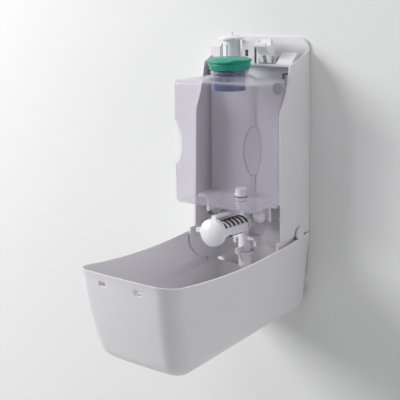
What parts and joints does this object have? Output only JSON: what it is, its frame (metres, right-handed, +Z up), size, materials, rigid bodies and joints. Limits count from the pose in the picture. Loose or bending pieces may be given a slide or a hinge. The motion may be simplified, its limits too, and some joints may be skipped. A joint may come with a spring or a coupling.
{
  "type": "wall mounted soap dispenser",
  "caption": "Wall mounted liquid soap dispenser with its front cover swung down, showing a clear refill bottle above a spring-loaded push pump.",
  "frame": {"origin": "centre of the four wall screw holes, on the back face of the wall plate", "axes": "+Z up, -Y out of the wall into the room, +X to the right of a person facing the wall"},
  "size_m": [0.1298, 0.2533, 0.3155],
  "materials": {
    "shell_white": "light grey-white ABS, fine satin",
    "frame_white": "white ABS, satin",
    "pump_white": "white polypropylene, soft gloss",
    "clip_grey": "dark grey acetal",
    "spring_black": "black coated spring wire",
    "steel": "plain steel",
    "seal_rubber": "dark rubber",
    "valve_rubber": "pale silicone rubber",
    "bottle_clear": "clear lilac-tinted PETG",
    "insert_blue": "dark blue polyethylene",
    "cap_teal": "teal green polypropylene"
  },
  "bodies": {
    "wall_unit": {"back_plate": "shell_white", "carrier_frame": "frame_white", "latch_bracket": "frame_white", "hinge_pins": "steel", "bottle_clips": "clip_grey", "pump_holder": "pump_white", "pump_body": "pump_white", "inlet_spigot": "pump_white", "inlet_seal": "seal_rubber", "inlet_ball": "steel", "outlet_tube": "pump_white", "outlet_valve": "valve_rubber", "pump_spring": "spring_black", "button_spring": "steel", "hook_pin": "steel"},
    "cover": {"cover_shell": "shell_white", "catch_bar": "shell_white", "panel_pins": "steel"},
    "panel": {"push_panel": "shell_white"},
    "plunger": {"push_dome": "pump_white", "plunger_rod": "steel", "piston": "pump_white", "piston_seal": "seal_rubber"},
    "button": {"lock_button": "pump_white"},
    "hook": {"latch_hook": "pump_white"},
    "refill": {"bottle": "bottle_clear", "bottle_outlet": "pump_white", "outlet_gasket": "seal_rubber", "neck_insert": "insert_blue"},
    "cap_seal": {"cap_gasket": "seal_rubber"},
    "cap": {"filler_cap": "cap_teal"}
  },
  "joints": [
    {"name": "cover_swing", "type": "hinge", "parent": "wall_unit", "child": "cover", "pos_m": [0, -0.022, -0.083], "axis": [1, 0, 0], "range_deg": [-90, 0]},
    {"name": "panel_press", "type": "hinge", "parent": "cover", "child": "panel", "pos_m": [0, -0.09, -0.1731], "axis": [1, 0, 0], "range_deg": [0, 10]},
    {"name": "pump_press", "type": "slide", "parent": "wall_unit", "child": "plunger", "axis": [0, 0.9981, -0.061], "range_m": [0, 0.01], "stiffness_N_per_m": 600, "springref_m": -0.012, "deforming": ["pump_spring"]},
    {"name": "button_press", "type": "slide", "parent": "wall_unit", "child": "button", "axis": [0, 0, -1], "range_m": [0, 0.004], "stiffness_N_per_m": 400, "springref_m": -0.005, "deforming": ["button_spring"]},
    {"name": "hook_tilt", "type": "hinge", "parent": "wall_unit", "child": "hook", "pos_m": [0.022, -0.024, 0.1055], "axis": [1, 0, 0], "range_deg": [-10, 0]},
    {"name": "bottle_pull", "type": "slide", "parent": "wall_unit", "child": "refill", "axis": [0, -1, 0], "range_m": [0, 0.12]},
    {"name": "cap_lift", "type": "slide", "parent": "refill", "child": "cap_seal", "axis": [0, 0, 1], "range_m": [0, 0.03]},
    {"name": "cap_turn", "type": "hinge", "parent": "cap_seal", "child": "cap", "pos_m": [0, -0.067, 0.107], "axis": [0, 0, 1], "range_deg": [0, 180]}
  ]
}
